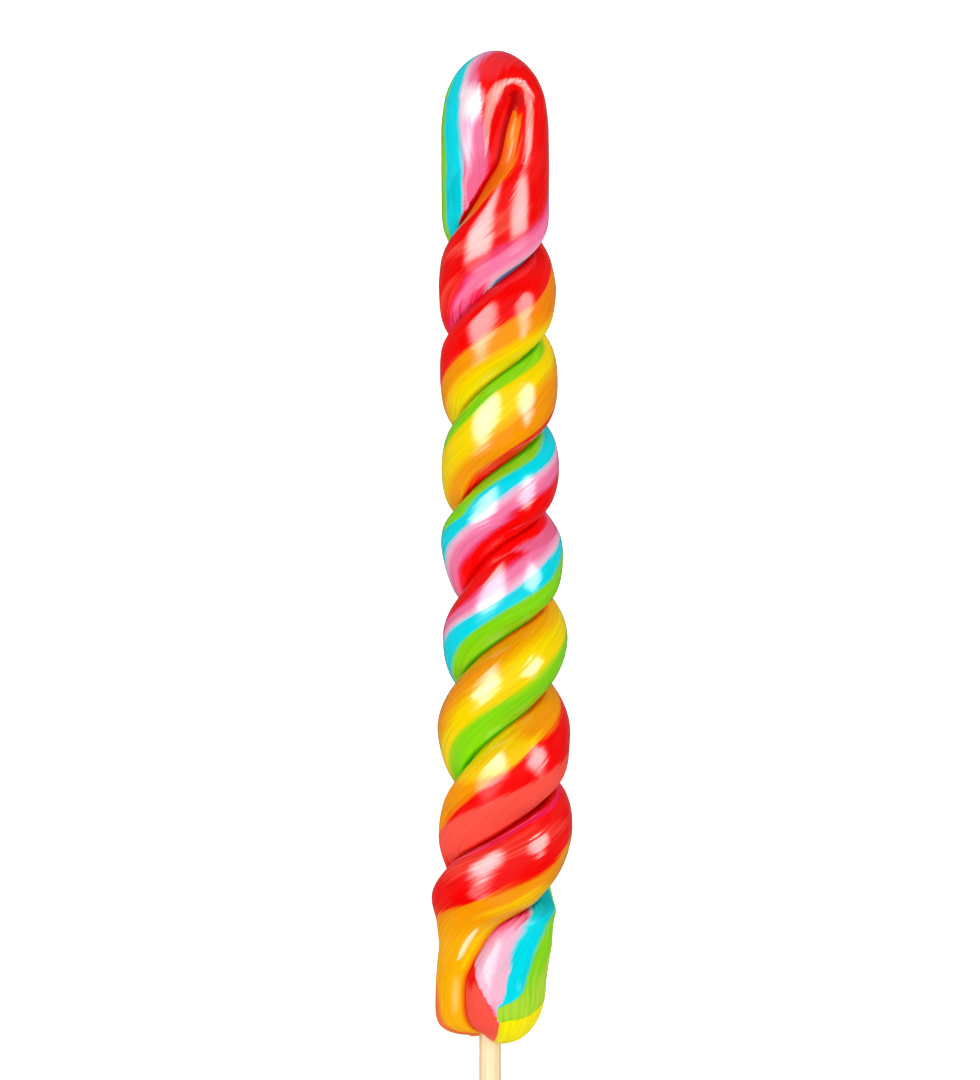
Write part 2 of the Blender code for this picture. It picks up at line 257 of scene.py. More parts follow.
def tail_point(dip, lap):
    c, t, b = oval(TAIL_START)
    u, w = section(TAIL_START, lap)
    far = np.hypot(u, w)
    share = 0.5 + 0.5 * np.tanh(TAIL_PARTING * u / far) / math.tanh(TAIL_PARTING)
    drop = TAIL_DROP["first"] + (TAIL_DROP["second"] - TAIL_DROP["first"]) * share
    blunt = TAIL_BLUNTNESS["first"] + (TAIL_BLUNTNESS["second"] - TAIL_BLUNTNESS["first"]) * share
    du, dw, dv = np.cos(dip) * u / far, np.cos(dip) * w / far, np.sin(dip)
    low, high = np.zeros_like(far), np.full_like(far, 40.0)
    for _ in range(48):
        s = 0.5 * (low + high)
        out = (s * np.abs(du) - c) / t
        egg = b * (1.0 - EGG * np.clip(out, -1.0, 1.0))
        inside = (out ** 2 + (s * dw / egg) ** 2 + (s * dv / drop) ** blunt) < 1.0
        low, high = np.where(inside, s, low), np.where(inside, high, s)
    d = TAIL_START + s * dv
    return place(s * du, s * dw, d), d, s * np.cos(dip)


# ------------------------------------------------------------------ the relief
def wave_sum(seed, girth, along, girth_rate, along_rate, count):
    """Smooth noise of about -1..1, from waves that run along the rope."""
    rng = np.random.default_rng(seed)
    out = np.zeros(np.broadcast(girth, along).shape)
    for _ in range(count):
        f = rng.uniform(*girth_rate) * rng.choice((-1.0, 1.0))
        g = rng.uniform(*along_rate)
        out += np.sin(2.0 * math.pi * (f * girth + g * along + rng.uniform()))
    return out / math.sqrt(0.5 * count) / 2.0


def relief(girth, along, lap):
    """Depth pressed into the skin: soft lumps, pulled ridges and fine lines."""
    fade = 1.0 - np.abs(lap) ** 6
    lumps = 0.11 * (0.5 + 0.5 * wave_sum(3, girth, along, (0.4, 1.1), (0.015, 0.06), 9))
    ridges = 0.05 * (0.5 + 0.5 * wave_sum(11, girth, along, (1.6, 4.5), (0.004, 0.022), 12))
    lines = 0.012 * (0.5 + 0.5 * wave_sum(29, girth, along, (6.0, 9.0), (0.004, 0.03), 14))
    return fade * np.clip(lumps + ridges + lines, 0.0, 0.4)


def ease(x, low, high):
    t = np.clip((x - low) / (high - low), 0.0, 1.0)
    return t * t * (3.0 - 2.0 * t)


def slide(x, start, end, bend):
    """An even fall from start to end that sets in over the given share."""
    t = np.clip((x - start) / (end - start), 0.0, 1.0)
    return np.where(t < bend, t * t / (2.0 * bend), t - 0.5 * bend) / (1.0 - 0.5 * bend)


def lip(d, own):
    """How far the first leg's inner side falls away beside the groove's upper end."""
    fall = 2.0 * slide(-own, 0.40, 1.0, 0.2) - 1.4 * ease(-own, 0.84, 1.0)
    return fall * (1.0 - ease(d, 19.0, 31.0))


def edge_girths(d, table, wind, sign):
    """Girth of every stripe edge at each station, one row for each edge."""
    rows = []
    for j in range(LOW_EDGE, HIGH_EDGE + 1):
        base = BASE_EDGES[j % 6] + ROUND * (j // 6)
        if j in table:
            at = np.array([k[0] for k in table[j]])
            girth = np.array([sign * k[1] for k in table[j]]) + wind(at)
            rows.append(np.interp(d, at, girth))
        else:
            rows.append(np.full(np.shape(d), base))
    return np.maximum.accumulate(np.array(rows) + 1e-4 * np.arange(len(rows))[:, None], axis=0)


def phase_of(girth, edges):
    """Number of the stripe at a girth, with how far across it that is."""
    k = np.clip(np.sum(girth[None, :] >= edges, axis=0) - 1, 0, len(edges) - 2)
    column = np.arange(len(girth))
    low, high = edges[k, column], edges[k + 1, column]
    return LOW_EDGE + k + np.clip((girth - low) / (high - low), 0.0, 1.0)


def leg_phase(d, own, is_second):
    out = np.zeros(len(d))
    for flag, table, wind, sign in ((True, SECOND_EDGES, wind_second, 1.0),
                                    (False, FIRST_EDGES, wind_first, -1.0)):
        pick = is_second == flag
        if pick.any():
            edges = edge_girths(d[pick], table, wind, sign)
            out[pick] = phase_of(sign * own[pick] + wind(d[pick]), edges)
    return out


def fold_phase(share, own):
    rows = []
    for j in range(LOW_EDGE, HIGH_EDGE + 1):
        if j in FOLD_EDGES:
            keys = FOLD_EDGES[j]
            rows.append(np.interp(share, [k[0] for k in keys], [k[1] for k in keys]))
        else:
            rows.append(np.full(len(share), 2.0 + 0.6 * j if j > 0 else 1.0 + 0.7 * j))
    return phase_of(own, np.array(rows))


# Places where the colour strays from its stripe. Some are the sugar's own colour;
# others are painted light and shade: the dark red, darker orange, teal and dusky
# blue in and beside the grooves and on edges turned away are painted shade, the
# salmon on the strands' middles and lower flanks is painted sheen and painted
# reflection, and the pale pink at the top is partly painted highlight. Each is a
# leg, its stripe if it keeps to one, stations and laps with how softly each ends,
# a colour and its strength.
(SALMON_AND_SHEEN, GROOVE_SHADE_RED, MAGENTA, PALE_PINK_AND_GLINT, CREAM_GLINT, ROSE, SUN, BLUSH_AND_GLINT, SHADED_ORANGE, LEMON, CORAL,
 AMBER, SHADED_TURQUOISE, SHADED_TEAL, SHELL, LIME) = range(16)
PALETTE = ((255, 84, 70), (205, 0, 6), (232, 28, 92), (254, 226, 236), (255, 238, 178),
           (240, 104, 146), (255, 206, 8), (255, 184, 172), (248, 112, 14), (255, 238, 14),
           (252, 44, 54), (255, 178, 8), (84, 128, 172), (0, 170, 184),
           (246, 184, 208), (184, 222, 62))
TINTS = (
    # painted reflection: salmon on the strand's lower flank, as if lit from below
    ("second", None, (157.0, 184.0, 6.0), (-1.3, -0.22, 0.16), SALMON_AND_SHEEN, 1.0),
    ("second", 12, (210.0, 226.0, 5.0), (-1.0, 1.2, 0.10), SALMON_AND_SHEEN, 1.0),
    ("second", 11, (188.0, 197.0, 7.0), (-1.0, 1.3, 0.14), MAGENTA, 0.75),
    ("second", 11, (199.0, 216.0, 8.0), (0.30, 1.2, 0.10), SHELL, 0.85),
    ("second", 8, (196.0, 226.0, 8.0), (-1.2, 0.7, 0.10), LEMON, 0.9),
    # painted shade: darker orange towards the groove
    ("second", 1, (8.0, 24.0, 6.0), (0.4, 1.2, 0.10), SHADED_ORANGE, 0.5),
    ("second", 1, (21.0, 42.0, 5.0), (0.80, 1.2, 0.08), SHADED_ORANGE, 0.9),
    # painted shade: darker orange on the edge turned away
    ("first", -5, (50.0, 62.0, 6.0), (-1.2, 0.6, 0.10), SHADED_ORANGE, 0.5),
    # painted sheen: salmon round the strand's highlights
    ("first", -12, (172.0, 189.0, 6.0), (0.24, 0.80, 0.22), SALMON_AND_SHEEN, 0.5),
    # painted sheen: salmon between the two highlights
    ("second", 0, (35.0, 48.0, 6.0), (0.02, 0.42, 0.16), SALMON_AND_SHEEN, 0.62),
    ("second", None, (52.0, 66.0, 5.0), (-1.2, -0.82, 0.10), MAGENTA, 0.6),
    # painted sheen: salmon where the highlight spreads out
    ("second", 0, (44.0, 62.0, 6.0), (-1.2, -0.25, 0.30), SALMON_AND_SHEEN, 0.46),
    # painted shade: darker turquoise on the edge turned away
    ("first", -2, (25.0, 40.0, 8.0), (-1.2, -0.4, 0.20), SHADED_TEAL, 0.42),
    ("second", 9, (206.0, 226.0, 10.0), (-1.2, 1.2, 0.10), LIME, 0.62),
    ("second", 9, (196.0, 226.0, 8.0), (-1.2, -0.02, 0.16), LIME, 0.6),
    # painted shade: dark red along the groove on the strand's upper side
    ("first", None, (164.0, 184.0, 3.0), (0.90, 1.2, 0.03), GROOVE_SHADE_RED, 1.0),
    ("first", None, (160.0, 186.0, 4.0), (0.82, 0.91, 0.04), MAGENTA, 0.9),
    # painted shade: dark red along the groove below the fold
    ("first", None, (8.0, 40.0, 3.0), (-1.2, -0.93, 0.05), GROOVE_SHADE_RED, 0.9),
    # pale pink, partly the sugar's own colour and partly painted highlight
    ("first", -1, (6.0, 16.0, 7.0), (-0.6, 0.2, 0.14), PALE_PINK_AND_GLINT, 0.85),
    ("first", -1, (23.0, 44.0, 6.0), (-1.2, 0.2, 0.10), ROSE, 0.7),
    ("second", None, (104.0, 113.0, 2.0), (0.45, 0.78, 0.12), ROSE, 0.8),
    ("second", 7, (154.0, 164.5, 5.0), (0.25, 1.2, 0.20), SUN, 0.9),
    ("first", None, (196.0, 226.0, 12.0), (-1.2, 0.9, 0.30), AMBER, 0.75),
    # painted shadow: darker turquoise under the strand above
    ("second", 10, (180.0, 194.0, 12.0), (0.4, 1.3, 0.10), SHADED_TEAL, 0.85),
    ("first", None, (184.0, 196.0, 5.0), (-0.75, -0.45, 0.16), SUN, 0.6),
    # painted shade: dark red at the groove's upper end
    ("second", None, (4.0, 14.0, 4.0), (0.87, 1.3, 0.08), GROOVE_SHADE_RED, 0.9),
    # painted shade: dusky blue on the turquoise at the groove's edge
    ("second", -2, (40.0, 62.0, 5.0), (-1.2, 0.4, 0.10), SHADED_TURQUOISE, 0.9),
)
# Where the sugar was pressed or pinched and lost its gloss: a leg, stations, laps
# and how much of the gloss is gone.
DULL = (
    ("first", (194.0, 230.0, 8.0), (-2.0, 2.0, 0.10), 0.7),
    ("second", (194.0, 230.0, 8.0), (-2.0, 2.0, 0.10), 0.7),
    ("second", (184.0, 230.0, 6.0), (0.50, 2.0, 0.10), 0.8),
    ("first", (0.0, 34.0, 8.0), (-2.0, -0.72, 0.10), 0.97),
    ("first", (0.0, 28.0, 10.0), (-0.76, -0.1, 0.20), 0.4),
    ("second", (0.0, 40.0, 8.0), (0.76, 2.0, 0.08), 0.95),
    ("second", (0.0, 28.0, 6.0), (0.50, 0.80, 0.10), 0.6),
    ("second", (38.0, 58.0, 6.0), (-1.2, -0.14, 0.14), 0.85),
    ("second", (162.0, 186.0, 4.0), (-1.3, 0.14, 0.12), 0.85),
    ("second", (161.5, 186.0, 4.0), (0.14, 0.90, 0.12), 0.62),
    ("first", (50.0, 74.0, 8.0), (-1.0, 1.0, 0.20), 0.35),
)
# How much of the painted groove shade is kept: a leg, stations, and how much of it is left.
KEPT_GROOVE_SHADE = (
    ("first", (0.0, 36.0, 10.0), 0.3),
    ("second", (0.0, 36.0, 10.0), 0.3),
    ("second", (42.0, 60.0, 6.0), 0.25),
    ("first", (198.0, 230.0, 8.0), 0.4),
    ("second", (198.0, 230.0, 8.0), 0.55),
)
# Narrow strayed streaks, each a leg, a line of (station, lap, half width), a
# colour and its strength; over the fold the line runs by share. The pale arch round
# the groove's upper end and the pale pink on the tail are partly painted highlight,
# the cream streaks are painted highlights, and the darker orange along the tail's
# groove is painted shade.
STREAKS = (
    # the pale arch round the groove's upper end: partly pale sugar, partly painted highlight
    ("second", ((10.9, 0.84, 0.08), (13.6, 0.78, 0.10), (18.1, 0.70, 0.10), (22.6, 0.655, 0.08),
                (26.5, 0.64, 0.0)), BLUSH_AND_GLINT, 0.6),
    ("first", ((10.9, -0.52, 0.13), (13.6, -0.56, 0.12), (18.1, -0.65, 0.10), (22.6, -0.74, 0.06),
               (25.5, -0.77, 0.0)), BLUSH_AND_GLINT, 0.65),
    # painted highlight: a cream glint on the left tail lobe
    ("first", ((196.5, -0.76, 0.0), (199.0, -0.77, 0.08), (201.0, -0.775, 0.09), (203.4, -0.79, 0.06),
               (205.6, -0.81, 0.0)), CREAM_GLINT, 0.8),
    # pale pink on the tail, partly painted highlight
    ("second", ((198.5, 0.86, 0.0), (200.5, 0.80, 0.10), (204.0, 0.72, 0.16), (207.0, 0.62, 0.14),
                (211.0, 0.52, 0.0)), PALE_PINK_AND_GLINT, 0.5),
    ("first", ((192.0, -0.91, 0.0), (196.0, -0.89, 0.05), (200.0, -0.875, 0.05), (204.5, -0.89, 0.04),
               (209.0, -0.92, 0.0)), SUN, 0.9),
    ("first", ((209.0, -0.48, 0.0), (214.0, -0.52, 0.16), (219.0, -0.54, 0.22), (220.9, -0.62, 0.20),
               (221.7, -0.74, 0.5), (224.0, -0.74, 0.55)), SALMON_AND_SHEEN, 0.65),
    # painted shade: darker orange along the tail's groove
    ("first", ((199.0, -1.0, 0.0), (204.0, -1.0, 0.05), (212.0, -1.0, 0.07), (220.0, -1.0, 0.07),
               (223.0, -1.0, 0.05)), SHADED_ORANGE, 0.7),
)
STREAKS += (
    # painted highlight: a cream glint along the orange band
    ("second", ((12.5, 0.965, 0.0), (15.0, 0.945, 0.03), (19.0, 0.92, 0.035), (24.0, 0.89, 0.03),
                (31.0, 0.86, 0.0)), CREAM_GLINT, 0.5),
)
# the pale arch's line over the fold, partly painted highlight
FOLD_STREAK = ((0.0, 0.84, 0.08), (0.2, 0.82, 0.085), (0.45, 0.79, 0.08), (0.54, 0.77, 0.085),
               (0.69, 0.675, 0.105), (0.79, 0.60, 0.12), (0.87, 0.55, 0.13), (0.93, 0.53, 0.13),
               (1.0, 0.52, 0.13))


def soft_box(value, low, high, soft):
    rise = np.clip((value - low) / soft + 0.5, 0.0, 1.0)
    fall = np.clip((high - value) / soft + 0.5, 0.0, 1.0)
    return np.minimum(rise, fall)


def streak(at, own, line):
    """How much of a narrow streak lies at each place."""
    x = [k[0] for k in line]
    centre = np.interp(at, x, [k[1] for k in line])
    width = np.interp(at, x, [k[2] for k in line], left=0.0, right=0.0)
    return ease(1.0 - np.abs(own - centre) / np.maximum(width, 1e-6), 0.0, 0.8) * (width > 0.004)


def tint_of(d, own, is_second, phase, faces):
    """Palette place and strength for each corner, the place alike over a face."""
    strength = []
    for leg, stripe, (d0, d1, ds), (l0, l1, ls), colour, most in TINTS:
        on = most * soft_box(d, d0, d1, ds) * soft_box(own, l0, l1, ls)
        if stripe is not None:
            on = on * soft_box(phase, stripe, stripe + 1.0, 0.12)
        strength.append(np.where(is_second == (leg == "second"), on, 0.0))
    return paint(np.array(strength), [t[4] for t in TINTS], faces)


def streak_of(d, own, is_second, faces):
    strength = np.array([np.where(is_second == (leg == "second"), most * streak(d, own, line), 0.0)
                         for leg, line, colour, most in STREAKS])
    return paint(strength, [t[2] for t in STREAKS], faces)


def gloss_of(d, own, is_second):
    left = np.ones(len(d))
    for leg, (d0, d1, ds), (l0, l1, ls), gone in DULL:
        dull = gone * soft_box(d, d0, d1, ds) * soft_box(own, l0, l1, ls)
        left = np.minimum(left, np.where(is_second == (leg == "second"), 1.0 - dull, 1.0))
    return left


def groove_shade_of(d, is_second):
    depth = np.ones(len(d))
    for leg, (d0, d1, ds), least in KEPT_GROOVE_SHADE:
        on = soft_box(d, d0, d1, ds) * (1.0 - least)
        depth = np.minimum(depth, np.where(is_second == (leg == "second"), 1.0 - on, 1.0))
    return depth


def paint(strength, colours, faces):
    """Palette place and strength for each corner from the tint that is strongest on its face."""
    per_face = np.zeros((len(strength), faces.max() + 1))
    for k in range(len(strength)):
        np.maximum.at(per_face[k], faces, strength[k])
    chosen = np.argmax(per_face, axis=0)[faces]
    return (np.array(colours)[chosen] + 0.5) / len(PALETTE), strength[chosen, np.arange(len(faces))]


def build_candy(shift):
    half = 56
    columns = 2 * half
    step = 0.35
    fold_rows = 84
    tail_rows = 44
    lap = -1.0 + 4.0 * np.arange(columns) / columns
    count = int(round((TAIL_START - PIVOT) / step))
    stations = np.linspace(PIVOT, TAIL_START, count + 1)
    own_lap = np.where(lap <= 1.0, lap, lap - 2.0)
    second = lap <= 1.0

    rows, row_d = [], []
    for d in stations:
        dd = np.full(columns, d)
        rows.append(place(*section(d, lap), dd))
        row_d.append(dd)
    for i in range(1, tail_rows):
        p, d, r = tail_point(np.full(columns, 0.5 * math.pi * i / tail_rows), lap)
        if r.min() < STICK_RADIUS + 0.35:
            break
        rows.append(p)
        row_d.append(d)
    # the skin's last ring lies against the dowel
    low, high = np.zeros(columns), np.full(columns, 0.5 * math.pi)
    for _ in range(48):
        mid = 0.5 * (low + high)
        outside = tail_point(mid, lap)[2] > STICK_RADIUS + 0.03
        low, high = np.where(outside, mid, low), np.where(outside, high, mid)
    mouth, mouth_d, _ = tail_point(mid, lap)
    rows.append(mouth)
    row_d.append(mouth_d)
    grid, grid_d = np.array(rows), np.array(row_d)

    # press the relief in along the skin's normals
    normal = np.cross(np.gradient(grid, axis=0), np.roll(grid, -1, axis=1) - np.roll(grid, 1, axis=1))
    normal /= np.maximum(np.linalg.norm(normal, axis=-1, keepdims=True), 1e-9)
    centre = np.stack([drift(grid_d), grid[..., 1], reach(grid_d) - REST_FLAT], axis=-1)
    normal *= np.sign(np.sum(normal * (grid - centre), axis=-1, keepdims=True))
    girth = np.where(second[None, :], own_lap[None, :] + wind_second(grid_d),
                     -own_lap[None, :] + wind_first(grid_d))
    along = np.where(second[None, :], grid_d, -grid_d)
    depth = relief(girth, along, own_lap[None, :]) + 0.05
    depth += np.where(second[None, :], 0.0, lip(grid_d, own_lap[None, :]))
    depth[-1] = 0.0
    grid = grid - normal * depth[..., None]

    verts = [grid.reshape(-1, 3)]
    n_rows = len(grid)
    idx = np.arange(n_rows * columns).reshape(n_rows, columns)
    quads, q_d, q_own, q_second = [], [], [], []
    i = np.arange(columns)
    j = (i + 1) % columns
    left = -1.0 + 2.0 * (i % half) / half
    right = left + 2.0 / half
    leg = i < half
    for r in range(n_rows - 1):
        quads.append(np.stack([idx[r, i], idx[r, j], idx[r + 1, j], idx[r + 1, i]], axis=1))
        q_d.append(np.stack([grid_d[r, i], grid_d[r, j], grid_d[r + 1, j], grid_d[r + 1, i]], axis=1))
        q_own.append(np.stack([left, right, right, left], axis=1))
        q_second.append(np.repeat(leg[:, None], 4, axis=1))

    # the blind hole for the dowel
    axis_z = float(reach(TAIL_START)) - REST_FLAT
    floor_y = -(CANDY_LENGTH - 75.0)
    angles = np.arctan2(mouth[:, 2] - axis_z, mouth[:, 0] - STICK_OFFSET)
    base = n_rows * columns
    previous = idx[-1]
    for k in range(1, 5):
        y = mouth[:, 1] + (floor_y - mouth[:, 1]) * (k / 4.0) ** 1.5
        wall = STICK_RADIUS + 0.28
        verts.append(np.stack([STICK_OFFSET + wall * np.cos(angles), y,
                               axis_z + wall * np.sin(angles)], axis=-1))
        this = base + np.arange(columns)
        base += columns
        quads.append(np.stack([previous[i], previous[j], this[j], this[i]], axis=1))
        q_d.append(np.full((columns, 4), 222.0))
        q_own.append(np.stack([left, right, right, left], axis=1))
        q_second.append(np.repeat(leg[:, None], 4, axis=1))
        previous = this
    verts.append(np.array([[STICK_OFFSET, floor_y + 0.5, axis_z]]))
    bottom = base
    base += 1

    quads = np.concatenate(quads)
    c_d = np.concatenate(q_d).ravel()
    c_own = np.concatenate(q_own).ravel()
    c_second = np.concatenate(q_second).ravel()
    faces = [tuple(q) for q in quads.tolist()]
    starts = np.repeat(np.arange(len(faces)), 4)
    phase = leg_phase(c_d, c_own, c_second)
    # where several edges meet, a face keeps to the stripe at its middle
    middle = np.floor(leg_phase(c_d.reshape(-1, 4).mean(axis=1), c_own.reshape(-1, 4).mean(axis=1),
                                c_second.reshape(-1, 4)[:, 0]))
    phase = phase.reshape(-1, 4)
    jump = np.ptp(phase, axis=1)[:, None] > 1.5
    near = np.where(jump, 0.2, -0.45)
    phase = np.clip(phase, middle[:, None] + near, middle[:, None] + 1.0 - near).ravel()
    place_u, place_v = tint_of(c_d, c_own, c_second, phase, starts)
    girth = np.where(c_second, c_own + wind_second(c_d), -c_own + wind_first(c_d))
    along = np.where(c_second, c_d, -c_d)
    corner_girth, corner_along, corner_phase = [girth], [along], [phase]
    corner_lap = [np.abs(c_own)]
    corner_u, corner_v = [place_u], [place_v]
    streak_u, streak_v = [[k] for k in streak_of(c_d, c_own, c_second, starts)]
    corner_gloss = [gloss_of(c_d, c_own, c_second)]
    corner_groove_shade = [groove_shade_of(c_d, c_second)]

    for k in range(columns):
        faces.append((int(previous[k]), int(previous[(k + 1) % columns]), bottom))
    extra = 3 * columns
    corner_girth.append(np.zeros(extra))
    corner_along.append(np.zeros(extra))
    corner_phase.append(np.full(extra, 0.5))
    corner_lap.append(np.zeros(extra))
    corner_gloss.append(np.full(extra, 0.3))
    corner_groove_shade.append(np.ones(extra))
    streak_u.append(np.zeros(extra))
    streak_v.append(np.zeros(extra))
    corner_u.append(np.zeros(extra))
    corner_v.append(np.zeros(extra))

    # the folded top: rows fan out between the two ends of the groove
    laps = lap[:half + 1]
    q2, q1 = float(wind_second(PIVOT)), float(wind_first(PIVOT))
    share = np.arange(fold_rows + 1) / fold_rows
    arcs = np.array([fold_point(np.full(half + 1, math.pi * t), laps) for t in share])
    fold_girth = laps[None, :] + (q2 + (q1 - q2) * (3 * share ** 2 - 2 * share ** 3))[:, None]
    fold_along = np.repeat((PIVOT * (1.0 - 2.0 * share))[:, None], half + 1, axis=1)
    normal = np.cross(np.gradient(arcs, axis=0), np.gradient(arcs, axis=1))
    normal /= np.maximum(np.linalg.norm(normal, axis=-1, keepdims=True), 1e-9)
    centre = np.array([float(drift(PIVOT)), -PIVOT, float(reach(PIVOT)) - REST_FLAT])
    normal *= np.sign(np.sum(normal * (arcs - centre), axis=-1, keepdims=True) + 1e-12)
    depth = relief(fold_girth, fold_along, np.repeat(laps[None, :], fold_rows + 1, axis=0)) + 0.05
    turned = (3 * share ** 2 - 2 * share ** 3)[:, None]
    depth += turned * lip(np.full((1, half + 1), PIVOT), -laps[None, :])
    arcs = arcs - normal * depth[..., None]
    arc_ids = np.zeros((fold_rows + 1, half + 1), int)
    arc_ids[0] = idx[0, :half + 1]
    arc_ids[-1] = [idx[0, (-k) % columns] for k in range(half + 1)]
    arc_ids[:, 0] = idx[0, 0]
    arc_ids[:, -1] = idx[0, half]
    fresh = arcs[1:-1, 1:-1]
    arc_ids[1:-1, 1:-1] = base + np.arange(fresh.shape[0] * fresh.shape[1]).reshape(fresh.shape[:2])
    verts.append(fresh.reshape(-1, 3))
    f_r, f_c, f_face = [], [], []
    for r in range(fold_rows):
        for c in range(half):
            keys = ((r + 1, c), (r + 1, c + 1), (r, c + 1), (r, c))
            ids = [int(arc_ids[k]) for k in keys]
            kept = [k for k in range(4) if ids[k] not in ids[:k]]
            faces.append(tuple(ids[k] for k in kept))
            for k in kept:
                f_r.append(keys[k][0])
                f_c.append(keys[k][1])
                f_face.append(len(faces) - 1)
    f_r, f_c = np.array(f_r), np.array(f_c)
    corner_girth.append(fold_girth[f_r, f_c])
    corner_along.append(fold_along[f_r, f_c])
    corner_lap.append(np.abs(laps[f_c]))
    f_face = np.array(f_face) - f_face[0]
    at, own = share[f_r], laps[f_c]
    fold_phases = fold_phase(at, own)
    # over the fold: painted shade in dark red at the groove's ends, a coral patch, and pale pink that is partly painted
    # highlight
    f_u, f_v = paint(np.array([
        0.9 * soft_box(own, 0.90, 1.2, 0.05),
        0.7 * soft_box(own, 0.12, 0.50, 0.14) * soft_box(at, 0.35, 0.86, 0.2),
        0.9 * soft_box(at, 0.90, 1.2, 0.16) * soft_box(fold_phases, -1.0, 0.0, 0.12)]),
        (GROOVE_SHADE_RED, CORAL, PALE_PINK_AND_GLINT), f_face)
    # the pale arch over the fold: partly pale sugar, partly painted highlight
    streak_u.append(np.full(len(own), (BLUSH_AND_GLINT + 0.5) / len(PALETTE)))
    streak_v.append((0.58 + 0.07 * at) * streak(at, own, FOLD_STREAK))
    corner_phase.append(fold_phases)
    corner_u.append(f_u)
    corner_v.append(f_v)
    corner_gloss.append((1.0 - soft_box(own, 0.78, 1.2, 0.12) * (0.9 + 0.07 * at))
                        * (1.0 - 0.4 * soft_box(at, 0.80, 1.2, 0.3))
                        * (1.0 - 0.35 * soft_box(at, 0.70, 0.90, 0.08)))
    corner_groove_shade.append(np.full(len(own), 0.3))

    verts = np.concatenate(verts) * MM
    verts[:, 0] += shift[0]
    verts[:, 1] += shift[1]
    verts[:, 2] = np.maximum(verts[:, 2], 0.0)
    mesh = bpy.data.meshes.new("candy_stripes")
    mesh.from_pydata(verts.tolist(), [], faces)
    girth = np.concatenate(corner_girth)
    along = np.concatenate(corner_along)
    phase = np.concatenate(corner_phase)
    # the gloss map's second coordinate is how much of the painted groove shade is kept
    for name, u, v in (("rope", girth, along / 100.0),
                       ("tone", phase / 6.0, np.concatenate(corner_lap)),
                       ("tint", np.concatenate(corner_u), np.concatenate(corner_v)),
                       ("streak", np.concatenate(streak_u), np.concatenate(streak_v)),
                       ("gloss", np.concatenate(corner_gloss), np.concatenate(corner_groove_shade))):
        layer = mesh.uv_layers.new(name=name)
        layer.data.foreach_set("uv", np.stack([u, v], axis=-1).ravel())
    mesh.update()
    turn_out(mesh)
    mesh.shade_smooth()
    mesh.set_sharp_from_angle(angle=math.radians(38.0))
    return mesh


def turn_out(mesh):
    bm = bmesh.new()
    bm.from_mesh(mesh)
    bmesh.ops.recalc_face_normals(bm, faces=bm.faces)
    bm.to_mesh(mesh)
    bm.free()


# ------------------------------------------------------------------- materials
def node(tree, kind, **values):
    n = tree.nodes.new(kind)
    for key, value in values.items():
        setattr(n, key, value)
    return n


def lin(r, g, b):
    def one(v):
        v /= 255.0
        return v / 12.92 if v <= 0.04045 else ((v + 0.055) / 1.055) ** 2.4
    return (one(r), one(g), one(b), 1.0)


# Colours as they look in even light, 0 to 255.
RED, ORANGE, YELLOW, GREEN = (252, 4, 4), (253, 154, 4), (254, 220, 0), (136, 222, 20)
TURQUOISE, PALE, PINK, HOT = (0, 222, 236), (250, 190, 216), (248, 122, 166), (242, 60, 112)
# Where each stripe's colour starts and ends, in stripe numbers, with its colour
# at both ends; the gaps between are the soft passage from one to the next.
BANDS = ((0.04, RED, 0.96, RED), (1.08, ORANGE, 1.75, ORANGE), (2.25, YELLOW, 2.92, YELLOW),
         (3.06, GREEN, 3.95, GREEN), (4.10, TURQUOISE, 4.88, TURQUOISE),
         (5.12, PALE, 5.45, PINK), (5.75, PINK, 5.93, HOT))


def stripe_stops():
    turn = tuple(0.5 * (a + b) for a, b in zip(HOT, RED))
    stops = [(0.0, turn)]
    for start, first, end, last in BANDS:
        stops += [(start / 6.0, first), (end / 6.0, last)]
    return stops + [(1.0, turn)]


